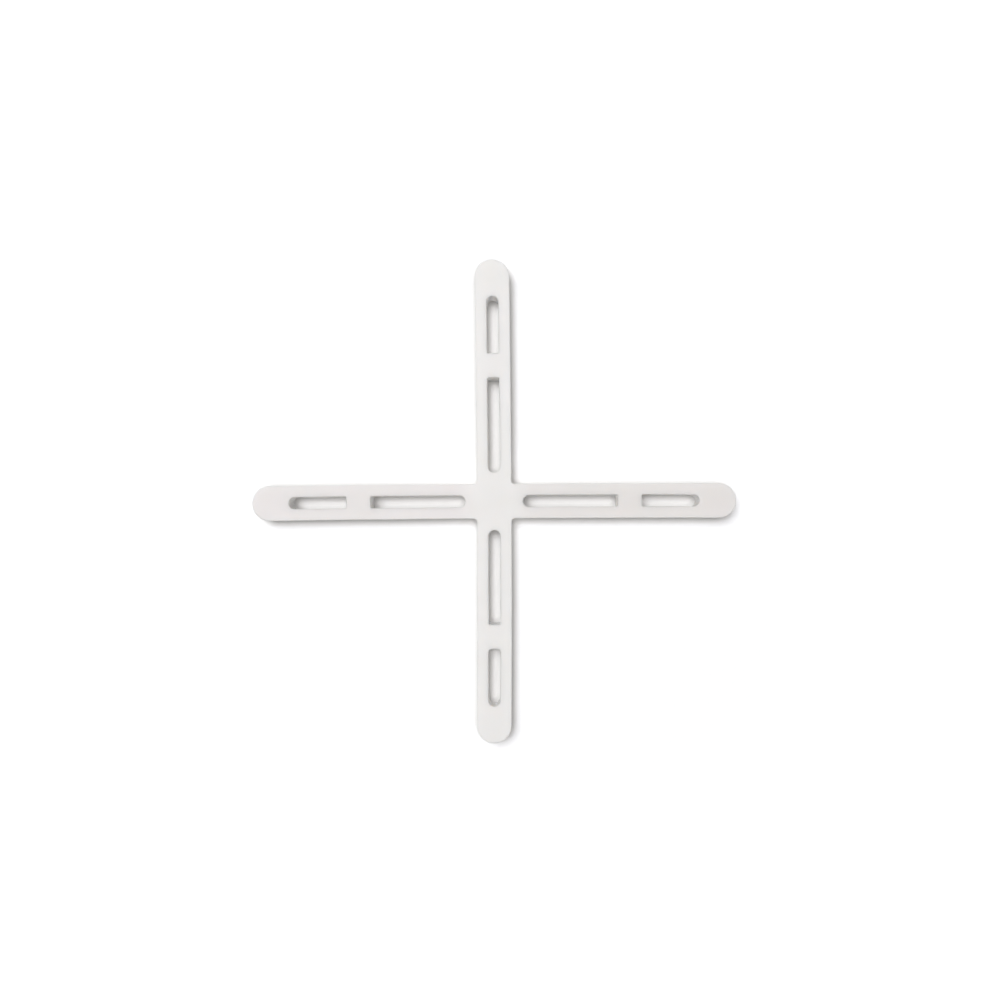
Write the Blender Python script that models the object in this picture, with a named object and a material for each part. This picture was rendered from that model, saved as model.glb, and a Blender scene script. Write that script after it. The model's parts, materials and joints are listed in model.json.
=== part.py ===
"""Slotted cross spacer for 5 mm tile joints, moulded in one piece of off-white plastic.

Four equal arms meet at a plain hub, and each ends in a half circle. Two slots run through every arm in
line, a long one by the hub and a short one by the tip. Each is round at the end that faces away from the
bridge between them and square at the end that meets it.
Metres, +Z up. The origin is the hub's centre on the underside, and the arms lie along X and Y.
"""

import math

import bmesh
import bpy
from mathutils import Matrix, Vector

MM = 0.001

# Driving dimensions of the cross
SPAN = 70.0 * MM  # from tip to tip
JOINT_WIDTH = 5.0 * MM  # width of an arm, which is the gap it keeps between two tiles
THICKNESS = 4.0 * MM
HUB_FILLET = 0.5 * MM  # radius in the four inner corners, clear of a tile's corner
EDGE_ROUNDING = 0.15 * MM  # radius that the mould leaves on the rims of both faces

# Driving dimensions of the slots
RAIL_WIDTH = 1.65 * MM  # wall left on each side of a slot
HUB_WALL = 1.7 * MM  # from the corner of the hub to the long slot
BRIDGE_WIDTH = 3.5 * MM  # web between the long slot and the short one
SHORT_SLOT = 8.3 * MM
TIP_WALL = 5.3 * MM  # from the short slot to the end of the arm
SLOT_CORNER = 0.2 * MM  # radius in a slot's square end

# Steps that the round stretches are drawn in
TIP_STEPS = 28
SLOT_END_STEPS = 14
CORNER_STEPS = 4
RIM_RESOLUTION = 1

# Dimensions that follow from those above
HALF_WIDTH = JOINT_WIDTH / 2
SLOT_HALF_WIDTH = HALF_WIDTH - RAIL_WIDTH
LONG_SLOT_START = HALF_WIDTH + HUB_WALL
SHORT_SLOT_END = SPAN / 2 - TIP_WALL
SHORT_SLOT_START = SHORT_SLOT_END - SHORT_SLOT
LONG_SLOT_END = SHORT_SLOT_START - BRIDGE_WIDTH
MERGE_DISTANCE = EDGE_ROUNDING / 100

# Angles
QUARTER_TURN = math.pi / 2
SHARP_ANGLE = math.radians(40)
ARM_TURNS = [Matrix.Rotation(QUARTER_TURN * arm, 2) for arm in range(4)]

# Finish of the moulded plastic
PLASTIC_COLOUR = (0.84, 0.825, 0.80, 1.0)
PLASTIC_ROUGHNESS = 0.45


def clear_scene():
    for obj in list(bpy.data.objects):
        bpy.data.objects.remove(obj, do_unlink=True)


def arc(x, y, radius, start, end, steps):
    """Points along an arc about (x, y), from one angle to the other with both ends."""
    angles = [start + (end - start) * step / steps for step in range(steps + 1)]
    return [Vector((x + radius * math.cos(a), y + radius * math.sin(a))) for a in angles]


def arm_outline():
    """Half circle at the tip of the arm along +X, then the fillet between it and the next arm."""
    tip_centre = SPAN / 2 - HALF_WIDTH
    fillet_centre = HALF_WIDTH + HUB_FILLET
    points = arc(tip_centre, 0, HALF_WIDTH, -QUARTER_TURN, QUARTER_TURN, TIP_STEPS)
    points += arc(
        fillet_centre, fillet_centre, HUB_FILLET, 3 * QUARTER_TURN, 2 * QUARTER_TURN, CORNER_STEPS
    )
    return points


def slot_outline(square_end, round_end):
    """Slot along +X, with its square end and its round end this far from the hub's centre."""
    length = abs(round_end - square_end)
    corner_y = SLOT_HALF_WIDTH - SLOT_CORNER
    points = arc(
        length - SLOT_HALF_WIDTH, 0, SLOT_HALF_WIDTH, -QUARTER_TURN, QUARTER_TURN, SLOT_END_STEPS
    )
    points += arc(SLOT_CORNER, corner_y, SLOT_CORNER, QUARTER_TURN, 2 * QUARTER_TURN, CORNER_STEPS)
    points += arc(
        SLOT_CORNER, -corner_y, SLOT_CORNER, 2 * QUARTER_TURN, 3 * QUARTER_TURN, CORNER_STEPS
    )
    direction = 1 if round_end > square_end else -1
    return [Vector((square_end + direction * point.x, point.y)) for point in points]


def add_outline(curve, points):
    spline = curve.splines.new("POLY")
    spline.points.add(len(points) - 1)
    for place, point in zip(spline.points, points):
        place.co = (point.x, point.y, 0, 1)
    spline.use_cyclic_u = True


def cross_curve():
    """Flat curve of the cross and its eight slots, given its thickness and its rounded rims."""
    curve = bpy.data.curves.new("cross_outline", "CURVE")
    curve.dimensions = "2D"
    curve.fill_mode = "BOTH"
    add_outline(curve, [turn @ point for turn in ARM_TURNS for point in arm_outline()])
    for turn in ARM_TURNS:
        long_slot = slot_outline(square_end=LONG_SLOT_END, round_end=LONG_SLOT_START)
        short_slot = slot_outline(square_end=SHORT_SLOT_START, round_end=SHORT_SLOT_END)
        add_outline(curve, [turn @ point for point in long_slot])
        add_outline(curve, [turn @ point for point in short_slot])
    curve.extrude = THICKNESS / 2 - EDGE_ROUNDING
    curve.bevel_depth = EDGE_ROUNDING
    curve.bevel_resolution = RIM_RESOLUTION
    # The bevel grows outwards from the outline, so the outline steps in first and the walls end up on it.
    curve.offset = -EDGE_ROUNDING
    return curve


def close_and_raise(mesh):
    """Joins the faces to the walls, whose points are doubled along the rims, and stands the cross on Z = 0."""
    bm = bmesh.new()
    bm.from_mesh(mesh)
    bmesh.ops.remove_doubles(bm, verts=bm.verts, dist=MERGE_DISTANCE)
    bmesh.ops.recalc_face_normals(bm, faces=bm.faces)
    bmesh.ops.translate(bm, verts=bm.verts, vec=(0, 0, THICKNESS / 2))
    bm.to_mesh(mesh)
    bm.free()


def white_plastic():
    material = bpy.data.materials.new("white_plastic")
    material.use_nodes = True
    shader = material.node_tree.nodes["Principled BSDF"]
    shader.inputs["Base Color"].default_value = PLASTIC_COLOUR
    shader.inputs["Roughness"].default_value = PLASTIC_ROUGHNESS
    shader.inputs["Metallic"].default_value = 0.0
    return material


def build_spacer():
    guide = bpy.data.objects.new("cross_outline", cross_curve())
    mesh = bpy.data.meshes.new_from_object(guide)
    bpy.data.objects.remove(guide)
    close_and_raise(mesh)
    mesh.name = "spacer_cross"
    mesh.materials.clear()
    mesh.materials.append(white_plastic())
    mesh.shade_smooth()
    mesh.set_sharp_from_angle(angle=SHARP_ANGLE)
    spacer = bpy.data.objects.new("spacer_cross", mesh)
    bpy.context.scene.collection.objects.link(spacer)


clear_scene()
build_spacer()
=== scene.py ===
"""A slotted tile spacer, one off-white moulding, lying on white paper and seen from straight above."""

import json
import math

import bmesh
import bpy
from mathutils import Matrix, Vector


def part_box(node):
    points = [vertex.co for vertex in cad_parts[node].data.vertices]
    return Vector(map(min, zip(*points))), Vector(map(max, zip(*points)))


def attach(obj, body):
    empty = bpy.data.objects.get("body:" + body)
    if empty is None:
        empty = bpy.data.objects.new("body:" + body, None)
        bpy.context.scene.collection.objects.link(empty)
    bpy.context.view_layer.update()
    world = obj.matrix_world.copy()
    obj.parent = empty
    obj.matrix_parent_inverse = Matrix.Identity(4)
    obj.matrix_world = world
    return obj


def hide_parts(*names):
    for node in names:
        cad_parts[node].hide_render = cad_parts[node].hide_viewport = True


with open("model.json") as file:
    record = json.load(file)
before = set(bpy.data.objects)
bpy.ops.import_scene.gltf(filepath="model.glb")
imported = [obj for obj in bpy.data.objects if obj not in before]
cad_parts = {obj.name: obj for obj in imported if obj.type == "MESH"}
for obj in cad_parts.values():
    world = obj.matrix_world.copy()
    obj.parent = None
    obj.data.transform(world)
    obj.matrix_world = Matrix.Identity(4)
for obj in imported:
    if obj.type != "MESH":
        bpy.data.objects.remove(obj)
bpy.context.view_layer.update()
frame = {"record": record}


# The cross
# A tiler's spacer is one flat moulding of off-white plastic: a hub and four arms, each with two slots
# that let the adhesive through. It is shot in a two-part mould, whose steel fingers leave the slots, and
# it comes out satin, with soft rims and with arms that are a touch bent.

MM = 0.001
low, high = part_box("spacer_cross")
mounts = {mount["name"]: mount["pos_m"] for mount in frame["record"]["mounts"]}
arm_reach = high.x
thickness = high.z - low.z
half_width = mounts["arm_x_plus_side_y_plus"][1]
hub_fillet = 0.5 * MM
rim_radius = 0.10 * MM
long_slot = (4.2 * MM, 17.9 * MM)
short_slot = (21.4 * MM, 29.7 * MM)
slot_half_width = 0.85 * MM
slot_corner = 0.2 * MM
same_place = 0.001 * MM
quarter_turn = math.radians(90)


def edit(piece, mode="EDGE"):
    """Makes the piece the only one selected, and opens it with nothing picked out in it."""
    bpy.ops.object.select_all(action="DESELECT")
    piece.select_set(True)
    bpy.context.view_layer.objects.active = piece
    bpy.ops.object.mode_set(mode="EDIT")
    bpy.ops.mesh.select_mode(type=mode)
    bpy.ops.mesh.select_all(action="DESELECT")


def pick_edges(piece, wanted):
    """Selects the wanted edges and no others."""
    mesh = bmesh.from_edit_mesh(piece.data)
    for edge in mesh.edges:
        edge.select_set(wanted(edge))
    bmesh.update_edit_mesh(piece.data)


def merge_doubles():
    """Joins corners that lie in one place, and leaves nothing selected."""
    bpy.ops.mesh.select_all(action="SELECT")
    bpy.ops.mesh.remove_doubles(threshold=same_place)
    bpy.ops.mesh.select_all(action="DESELECT")


def round_uprights(piece, x, y, radius, segments):
    """Rounds the upright edges at this distance from each axis, on whichever side of it they are."""

    def upright_there(edge):
        a, b = (corner.co for corner in edge.verts)
        upright = abs(a.x - b.x) < same_place and abs(a.y - b.y) < same_place
        return upright and abs(abs(a.x) - x) < same_place and abs(abs(a.y) - y) < same_place

    pick_edges(piece, upright_there)
    bpy.ops.mesh.bevel(offset=radius, segments=segments, affect="EDGES", clamp_overlap=False)
    merge_doubles()


# The hub is laid down as a square, and its sides are pulled out into the arms, line by line. The lines
# keep clear of the ends of the slots, so that every cut falls within a face.

line_spacing = 0.8 * MM
clear = 0.15 * MM


def lines_between(start, end):
    """Places of even lines across an arm, half a space inside both ends."""
    count = max(1, round((end - start) / line_spacing))
    return [start + (end - start) * (line + 0.5) / count for line in range(count)]


tip_centre = arm_reach - half_width
arm_lines = (
    [half_width + hub_fillet]
    + lines_between(half_width + hub_fillet, long_slot[0] - rim_radius)
    + lines_between(long_slot[0] + slot_half_width, long_slot[1] - slot_corner - clear)
    + lines_between(long_slot[1] + rim_radius, short_slot[0] - rim_radius)
    + lines_between(short_slot[0] + slot_corner + clear, short_slot[1] - slot_half_width)
    + lines_between(short_slot[1] + rim_radius, tip_centre)
    + [arm_reach]
)

bpy.ops.mesh.primitive_plane_add(size=2 * half_width, location=(0, 0, 0))
spacer = bpy.context.active_object
spacer.name = spacer.data.name = "moulded_cross"
edit(spacer)
for along_x, along_y in ((1, 0), (0, 1), (-1, 0), (0, -1)):
    reached = half_width
    for line in arm_lines:
        pick_edges(
            spacer,
            lambda edge: all(
                abs(end.co.x * along_x + end.co.y * along_y - reached) < same_place
                and abs(end.co.x * along_y + end.co.y * along_x) < half_width + same_place
                for end in edge.verts
            ),
        )
        step = line - reached
        bpy.ops.mesh.extrude_region_move(
            TRANSFORM_OT_translate={"value": (step * along_x, step * along_y, 0)}
        )
        reached = line

# The hub's own four sides go, so that the hub and the first step of every arm are one face. The sheet
# is raised to its thickness, and the upright edges are rounded at the tips and in the inner corners of
# the hub.

tip_segments = 24
fillet_segments = 8

pick_edges(
    spacer,
    lambda edge: all(
        max(abs(end.co.x), abs(end.co.y)) < half_width + same_place for end in edge.verts
    ),
)
bpy.ops.mesh.dissolve_edges(use_verts=False)
bpy.ops.mesh.select_all(action="SELECT")
bpy.ops.mesh.extrude_region_move(TRANSFORM_OT_translate={"value": (0, 0, thickness)})
bpy.ops.mesh.select_all(action="SELECT")
bpy.ops.mesh.normals_make_consistent(inside=False)
round_uprights(spacer, half_width, half_width, hub_fillet, fillet_segments)
round_uprights(spacer, arm_reach, half_width, half_width, tip_segments)
round_uprights(spacer, half_width, arm_reach, half_width, tip_segments)
bpy.ops.object.mode_set(mode="OBJECT")

# A steel finger is round at the end away from the web and has eased corners at the square end beside
# it. The short finger of the fourth arm, the lower one seen from above, is rounded off further. All
# eight are taken out of the cross together.

slot_end_segments = 14
slot_corner_segments = 5
worn_corner = 0.5 * MM
short_slot_corners = (slot_corner, slot_corner, slot_corner, worn_corner)
finger_height = 2 * thickness


def finger(arm, square_end, round_end, corner):
    """A steel finger, taller than the arm is thick. Arms count anticlockwise from the right-hand one."""
    length = abs(round_end - square_end)
    middle = (square_end + round_end) / 2
    bpy.ops.mesh.primitive_cube_add(size=1, location=(middle, 0, thickness / 2))
    steel = bpy.context.active_object
    steel.scale = (length, 2 * slot_half_width, finger_height)
    bpy.ops.object.transform_apply(location=True, rotation=False, scale=True)
    edit(steel)
    round_uprights(steel, round_end, slot_half_width, slot_half_width, slot_end_segments)
    round_uprights(steel, square_end, slot_half_width, corner, slot_corner_segments)
    bpy.ops.object.mode_set(mode="OBJECT")
    steel.rotation_euler.z = arm * quarter_turn
    bpy.ops.object.transform_apply(location=False, rotation=True, scale=False)
    return steel


fingers = []
for arm, short_corner in enumerate(short_slot_corners):
    fingers.append(finger(arm, square_end=long_slot[1], round_end=long_slot[0], corner=slot_corner))
    fingers.append(finger(arm, square_end=short_slot[0], round_end=short_slot[1], corner=short_corner))
bpy.ops.object.select_all(action="DESELECT")
for steel in fingers:
    steel.select_set(True)
all_fingers = fingers[0]
bpy.context.view_layer.objects.active = all_fingers
bpy.ops.object.join()

bpy.ops.object.select_all(action="DESELECT")
spacer.select_set(True)
bpy.context.view_layer.objects.active = spacer
cut = spacer.modifiers.new("slots", "BOOLEAN")
cut.operation = "DIFFERENCE"
cut.solver = "EXACT"
cut.object = all_fingers
bpy.ops.object.modifier_apply(modifier=cut.name)
bpy.data.objects.remove(all_fingers)

# Steel's corners are never dead sharp, so every rim of both faces comes out softly rounded, inside the
# slots as well as round the outline.

rim_segments = 4
lies_flat = 0.9


def on_rim(edge):
    """An edge where a flat face meets an upright wall."""
    if len(edge.link_faces) != 2:
        return False
    first, second = (abs(face.normal.z) > lies_flat for face in edge.link_faces)
    return first != second


edit(spacer)
pick_edges(spacer, on_rim)
bpy.ops.mesh.bevel(
    offset=rim_radius, segments=rim_segments, affect="EDGES", clamp_overlap=False, loop_slide=False
)
merge_doubles()
bpy.ops.object.mode_set(mode="OBJECT")

# The arms bend a little as the moulding cools and is thrown out. Each tip is drawn aside with the arm
# following it less and less towards the hub.

tip_bends = (
    ((arm_reach, 0), (0, -0.09 * MM)),
    ((-arm_reach, 0), (0, -0.14 * MM)),
    ((0, arm_reach), (-0.13 * MM, 0)),
    ((0, -arm_reach), (-0.22 * MM, 0)),
)

edit(spacer, mode="VERT")
for (tip_x, tip_y), (aside_x, aside_y) in tip_bends:
    mesh = bmesh.from_edit_mesh(spacer.data)
    for point in mesh.verts:
        along = (point.co.x * tip_x + point.co.y * tip_y) / arm_reach
        point.select_set(along > arm_reach - 2 * rim_radius)
    mesh.select_flush_mode()
    bmesh.update_edit_mesh(spacer.data)
    bpy.ops.transform.translate(
        value=(aside_x, aside_y, 0),
        use_proportional_edit=True,
        proportional_edit_falloff="SHARP",
        proportional_size=arm_reach,
    )
bpy.ops.object.mode_set(mode="OBJECT")

# The walls wander by a few hundredths of a millimetre, as they do on a thin moulding. The rims and
# walls are then shaded as smooth curves, with the flat faces left flat.

wander_size = 9 * MM
wander_depth = 0.11 * MM
sharp_angle = math.radians(30)
for axis, basis in (("X", "BLENDER_ORIGINAL"), ("Y", "IMPROVED_PERLIN")):
    lie = bpy.data.textures.new("wander_" + axis.lower(), "CLOUDS")
    lie.noise_basis = basis
    lie.noise_scale = wander_size
    lie.noise_depth = 1
    wander = spacer.modifiers.new("wander_" + axis.lower(), "DISPLACE")
    wander.texture = lie
    wander.texture_coords = "LOCAL"
    wander.direction = axis
    wander.strength = wander_depth
    bpy.ops.object.modifier_apply(modifier=wander.name)

bpy.ops.object.shade_smooth_by_angle(angle=sharp_angle)
even = spacer.modifiers.new("flat_faces_stay_flat", "WEIGHTED_NORMAL")
even.keep_sharp = True
bpy.ops.object.modifier_apply(modifier=even.name)

# Satin off-white plastic: a faint warm and cool mottling, a fine grain from the spark-eroded steel, and
# a slow dishing of the face where the plastic has shrunk. Light sinks a little way in, red the furthest.
# The walls are painted a shade whiter and warmer than the faces, painted light that lifts the walls
# standing in shade. The two side arms are a shade darker and pinker than the upright ones, and the right
# one is painted darker still, painted shade for the light falling off away from the softbox.

plastic_ior = 1.49
light_sinks_in = 1.3 * MM
sinks_in_by_colour = (1.0, 0.95, 0.9)
mottle_size, mottle_spread = 7 * MM, (0.35, 0.65)
face_tones = ((0.896, 0.881, 0.878), (0.884, 0.877, 0.867))
# Painted light: the walls' tones are whiter and warmer than the faces', to lift the walls in shade.
wall_tones_painted_lighter = ((0.972, 0.951, 0.932), (0.964, 0.948, 0.925))
left_arm_cast = (0.958, 0.940, 0.946)
# The right arm's cast also holds painted shade, for the light falling off away from the softbox.
right_arm_cast_painted_darker = (0.937, 0.923, 0.920)
cast_starts, cast_is_full = 2 * MM, 6 * MM
gloss_size, smoothest, roughest = 1.6 * MM, 0.46, 0.60
dishing_size, dishing_depth = 10 * MM, 0.12 * MM
grain_size, grain_depth = 0.16 * MM, 0.004 * MM

white_plastic = bpy.data.materials.new("satin_white_plastic")
white_plastic.use_nodes = True
nodes = white_plastic.node_tree.nodes
links = white_plastic.node_tree.links
surface = nodes["Principled BSDF"]
surface.inputs["IOR"].default_value = plastic_ior
surface.inputs["Subsurface Weight"].default_value = 1.0
surface.inputs["Subsurface Radius"].default_value = sinks_in_by_colour
surface.inputs["Subsurface Scale"].default_value = light_sinks_in

place = nodes.new("ShaderNodeTexCoord")


def noise(name, feature_size, detail):
    """Noise that is fixed in the piece, with features of about this size in metres."""
    pattern = nodes.new("ShaderNodeTexNoise")
    pattern.name = pattern.label = name
    pattern.inputs["Scale"].default_value = 1 / feature_size
    pattern.inputs["Detail"].default_value = detail
    links.new(place.outputs["Object"], pattern.inputs["Vector"])
    return pattern.outputs["Fac"]


def ramp(name, value, positions, tones):
    """A run of colours, one at each position, picked out by a value."""
    colours = nodes.new("ShaderNodeValToRGB")
    colours.name = colours.label = name
    for middle_position in positions[1:-1]:
        colours.color_ramp.elements.new(middle_position)
    for stop, position, tone in zip(colours.color_ramp.elements, positions, tones):
        stop.position = position
        stop.color = (*tone, 1.0)
    links.new(value, colours.inputs["Fac"])
    return colours.outputs["Color"]


def worked_out(operation, *values):
    """One step of arithmetic, in the material in hand, on numbers and on other steps' results."""
    step = nodes.new("ShaderNodeMath")
    step.operation = operation
    for socket, value in zip(step.inputs, values):
        if isinstance(value, bpy.types.NodeSocket):
            links.new(value, socket)
        else:
            socket.default_value = value
    return step.outputs["Value"]


def graded(value, start, end, first, last):
    """Runs smoothly from the first figure to the last while the value goes from start to end."""
    grade = nodes.new("ShaderNodeMapRange")
    grade.interpolation_type = "SMOOTHSTEP"
    links.new(value, grade.inputs["Value"])
    ends = {"From Min": start, "From Max": end, "To Min": first, "To Max": last}
    for name, figure in ends.items():
        grade.inputs[name].default_value = figure
    return grade.outputs["Result"]


def mixed(how, factor, under, over):
    """One colour laid over another where the factor says so. Each is a socket or a plain colour."""
    mix = nodes.new("ShaderNodeMix")
    mix.data_type = "RGBA"
    mix.blend_type = how
    for name, value in (("Factor", factor), ("A", under), ("B", over)):
        if isinstance(value, bpy.types.NodeSocket):
            links.new(value, mix.inputs[name])
        else:
            mix.inputs[name].default_value = value
    return mix.outputs["Result"]


mottle_pattern = noise("mottle pattern", mottle_size, detail=3.0)
face_mottle = ramp("mottle of the faces", mottle_pattern, mottle_spread, face_tones)
wall_mottle_painted_lighter = ramp("mottle of the walls", mottle_pattern, mottle_spread, wall_tones_painted_lighter)
axes = nodes.new("ShaderNodeSeparateXYZ")
links.new(place.outputs["Object"], axes.inputs["Vector"])
from_hub = worked_out("ABSOLUTE", axes.outputs["X"])
on_side_arms = graded(from_hub, cast_starts, cast_is_full, 0, 1)
# Left of the hub the side arm's own tint, right of it the same tint with painted shade.
on_the_right = graded(axes.outputs["X"], -cast_starts, cast_starts, 0, 1)
arm_tint_and_painted_shade = mixed("MIX", on_the_right, (*left_arm_cast, 1.0), (*right_arm_cast_painted_darker, 1.0))
faces = mixed("MULTIPLY", on_side_arms, face_mottle, arm_tint_and_painted_shade)
# Where the walls stand, the painted lighter wall tones take over from the faces'.
half_thickness = thickness / 2
from_middle = worked_out("ABSOLUTE", worked_out("SUBTRACT", axes.outputs["Z"], half_thickness))
on_walls_painted_lighter = graded(from_middle, half_thickness - 2 * rim_radius, half_thickness, 1, 0)
links.new(mixed("MIX", on_walls_painted_lighter, faces, wall_mottle_painted_lighter), surface.inputs["Base Color"])

gloss_pattern = noise("gloss pattern", gloss_size, detail=3.0)
links.new(graded(gloss_pattern, 0, 1, smoothest, roughest), surface.inputs["Roughness"])

dishing = nodes.new("ShaderNodeBump")
dishing.inputs["Strength"].default_value = 1.0
dishing.inputs["Distance"].default_value = dishing_depth
links.new(noise("dishing pattern", dishing_size, detail=1.0), dishing.inputs["Height"])
grain = nodes.new("ShaderNodeBump")
grain.inputs["Strength"].default_value = 1.0
grain.inputs["Distance"].default_value = grain_depth
links.new(noise("grain pattern", grain_size, detail=3.0), grain.inputs["Height"])
links.new(dishing.outputs["Normal"], grain.inputs["Normal"])
links.new(grain.outputs["Normal"], surface.inputs["Normal"])

spacer.data.materials.clear()
spacer.data.materials.append(white_plastic)
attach(spacer, "root")
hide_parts("spacer_cross")


# The white paper under it
# A sheet of matt white paper, laid flat, that keeps the shadow of the cross. Seen directly, it carries
# painted shade: it is painted duller in the corner against the walls and in the slots, a plain white
# around them, and far away it grows to the full white of the backdrop.


def seen_directly():
    """One where the eye, a reflection or clear plastic looks at the surface, and nothing otherwise."""
    ray = nodes.new("ShaderNodeLightPath")
    mirrored = worked_out("MAXIMUM", ray.outputs["Is Camera Ray"], ray.outputs["Is Glossy Ray"])
    return worked_out("MAXIMUM", mirrored, ray.outputs["Is Transmission Ray"])


paper_width = 4.0
paper_lit = (1.0, 1.0, 1.0)
# Painted shade: the seen white of the paper is darker where the walls close it in.
painted_shade_band = 1.0 * MM
openness_by_walls, painted_shade_by_walls = 0.5, (0.79, 0.79, 0.79)
openness_half_clear, painted_shade_half_clear = 0.93, (1.07, 1.07, 1.08)
openness_in_the_open, seen_in_the_open = 1.0, (1.16, 1.17, 1.20)
lift_starts, lift_is_full = 38 * MM, 300 * MM

bpy.ops.mesh.primitive_plane_add(size=paper_width, location=(0, 0, 0))
sheet = bpy.context.active_object
sheet.name = sheet.data.name = "white_paper"
paper = bpy.data.materials.new("matt_white_paper")
paper.use_nodes = True
nodes = paper.node_tree.nodes
links = paper.node_tree.links
nodes.clear()
seen = seen_directly()
# How closed in by the walls the paper is sets its painted shade.
openness_to_painted_shade = nodes.new("ShaderNodeAmbientOcclusion")
openness_to_painted_shade.inputs["Distance"].default_value = painted_shade_band
seen_white_with_painted_shade = ramp(
    "white of the paper as seen",
    openness_to_painted_shade.outputs["AO"],
    (openness_by_walls, openness_half_clear, openness_in_the_open),
    (painted_shade_by_walls, painted_shade_half_clear, seen_in_the_open),
)
matt = nodes.new("ShaderNodeBsdfDiffuse")
links.new(mixed("MIX", seen, (*paper_lit, 1.0), seen_white_with_painted_shade), matt.inputs["Color"])
away = nodes.new("ShaderNodeVectorMath")
away.operation = "LENGTH"
links.new(nodes.new("ShaderNodeTexCoord").outputs["Object"], away.inputs[0])
lift = nodes.new("ShaderNodeEmission")
far_lift = graded(away.outputs["Value"], lift_starts, lift_is_full, 0, 1)
links.new(worked_out("MULTIPLY", seen, far_lift), lift.inputs["Strength"])
lifted = nodes.new("ShaderNodeAddShader")
out = nodes.new("ShaderNodeOutputMaterial")
links.new(matt.outputs["BSDF"], lifted.inputs[0])
links.new(lift.outputs["Emission"], lifted.inputs[1])
links.new(lifted.outputs["Shader"], out.inputs["Surface"])
sheet.data.materials.append(paper)


# The light
# A softbox high up on the left, beyond the cross, gives the short soft shadows on the right of the arms
# and below them. A panel straight overhead, a weak one on the other side and the pale room lighten the
# walls that face away from it. The backdrop is a touch over white, so that it shows as pure white.

room_strength = 0.158
room_colour = (1.0, 0.96, 0.91)
backdrop_strength = 1.08
backdrop_colour = (1.0, 1.0, 1.0)

room = bpy.data.worlds.new("pale_room")
bpy.context.scene.world = room
room.use_nodes = True
nodes = room.node_tree.nodes
links = room.node_tree.links
nodes.clear()
walls = nodes.new("ShaderNodeBackground")
walls.inputs["Strength"].default_value = room_strength
walls.inputs["Color"].default_value = (*room_colour, 1.0)
backdrop = nodes.new("ShaderNodeBackground")
backdrop.inputs["Strength"].default_value = backdrop_strength
backdrop.inputs["Color"].default_value = (*backdrop_colour, 1.0)
either = nodes.new("ShaderNodeMixShader")
out = nodes.new("ShaderNodeOutputWorld")
links.new(seen_directly(), either.inputs["Fac"])
links.new(walls.outputs["Background"], either.inputs[1])
links.new(backdrop.outputs["Background"], either.inputs[2])
links.new(either.outputs["Shader"], out.inputs["Surface"])

lamp_height = 2.5


def lamp(name, aside, width, energy):
    """A square lamp that faces straight down, this far to the left of the cross and as far beyond it."""
    bpy.ops.object.light_add(type="AREA", location=(-aside, aside, lamp_height))
    panel = bpy.context.active_object
    panel.name = name
    panel.data.shape = "SQUARE"
    panel.data.size = width
    panel.data.energy = energy


lamp("softbox", aside=0.58, width=1.16, energy=41.6)
lamp("panel_overhead", aside=0.0, width=1.25, energy=9.3)
lamp("panel_low_on_the_right", aside=-1.6, width=0.8, energy=10.2)


# The camera
# It looks straight down, from a little right of the hub and below it. The cross lies left of the middle,
# and the walls at the outer ends of the slots show.

frame_width = 144.57 * MM
camera_height = 153 * MM
sensor_width = 36.0
hub_in_frame = (-0.0058, -0.0011)
under_camera = (0.015, -0.022)
camera_roll = math.radians(-0.37)
nearest_seen = 10 * MM

camera_x = (under_camera[0] - hub_in_frame[0]) * frame_width
camera_y = (under_camera[1] - hub_in_frame[1]) * frame_width
bpy.ops.object.camera_add(
    location=(camera_x, camera_y, high.z + camera_height), rotation=(0, 0, camera_roll)
)
camera = bpy.context.active_object
camera.data.sensor_width = sensor_width
camera.data.lens = sensor_width * camera_height / frame_width
camera.data.shift_x = -under_camera[0]
camera.data.shift_y = -under_camera[1]
camera.data.clip_start = nearest_seen
bpy.context.scene.camera = camera
bpy.context.scene.view_settings.view_transform = "Standard"
